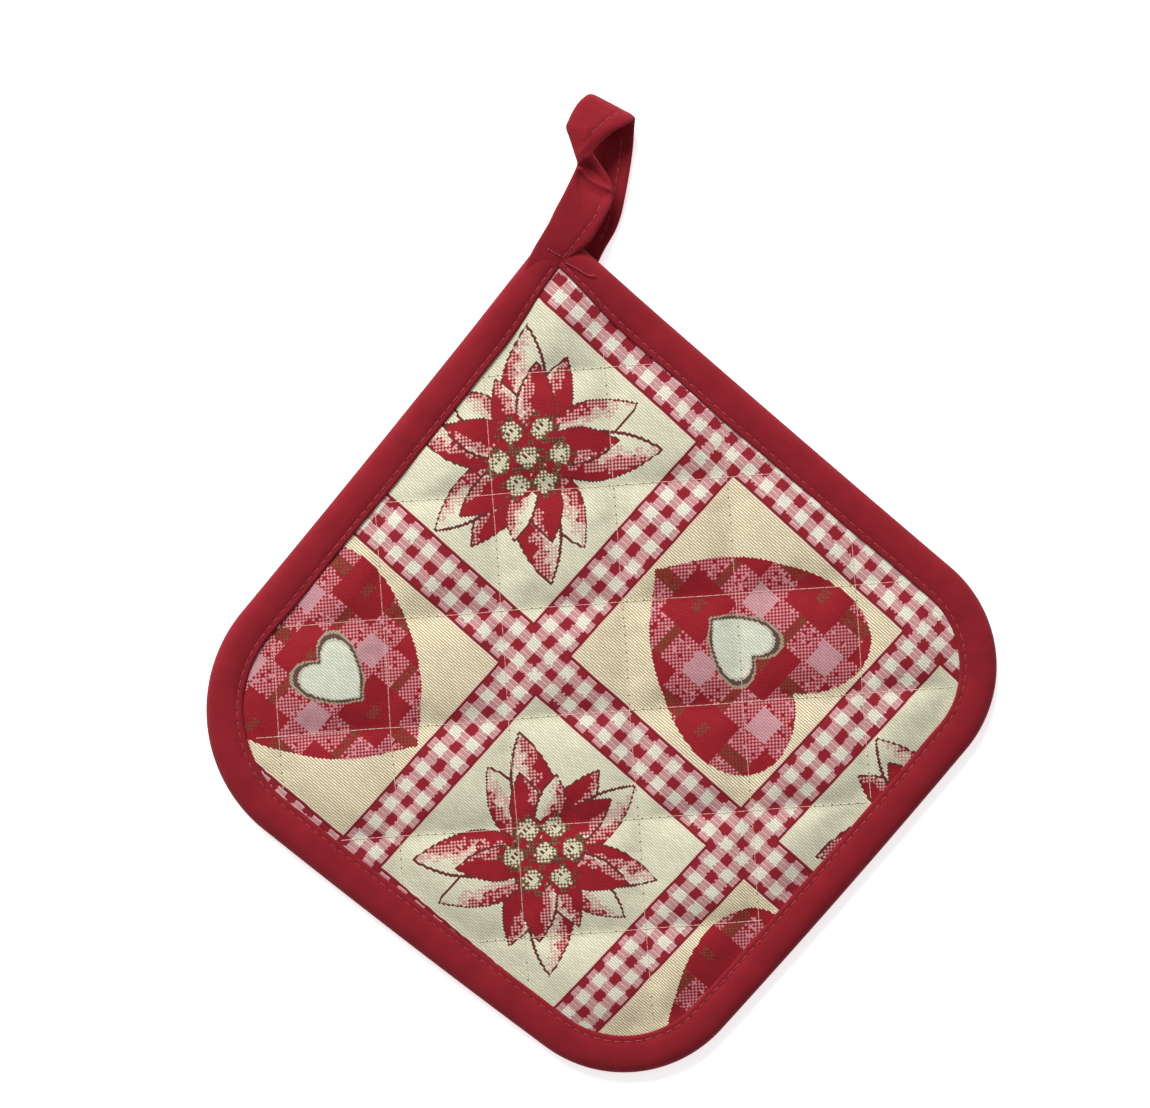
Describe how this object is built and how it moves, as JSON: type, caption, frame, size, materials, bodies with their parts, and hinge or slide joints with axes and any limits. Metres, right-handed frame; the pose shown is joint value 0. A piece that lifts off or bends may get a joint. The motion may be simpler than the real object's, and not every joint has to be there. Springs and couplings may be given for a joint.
{
  "type": "quilted pot holder",
  "caption": "Quilted square pot holder with round corners, a bound edge and a twisted hanging loop at its pointed corner, lying flat.",
  "frame": {"origin": "centre of the bounding box of pad and loop, on the surface that the pad's back lies on", "axes": "+Z out of the patterned face, +Y towards the hanging loop, +X to the right of the face"},
  "size_m": [0.2477, 0.307, 0.0127],
  "materials": {
    "woven_face": "patterned cotton weave, quilted",
    "red_cotton": "plain red cotton"
  },
  "bodies": {
    "root": {"quilted_pad": "woven_face", "edge_binding": "red_cotton", "hanging_loop": "red_cotton"}
  },
  "joints": []
}
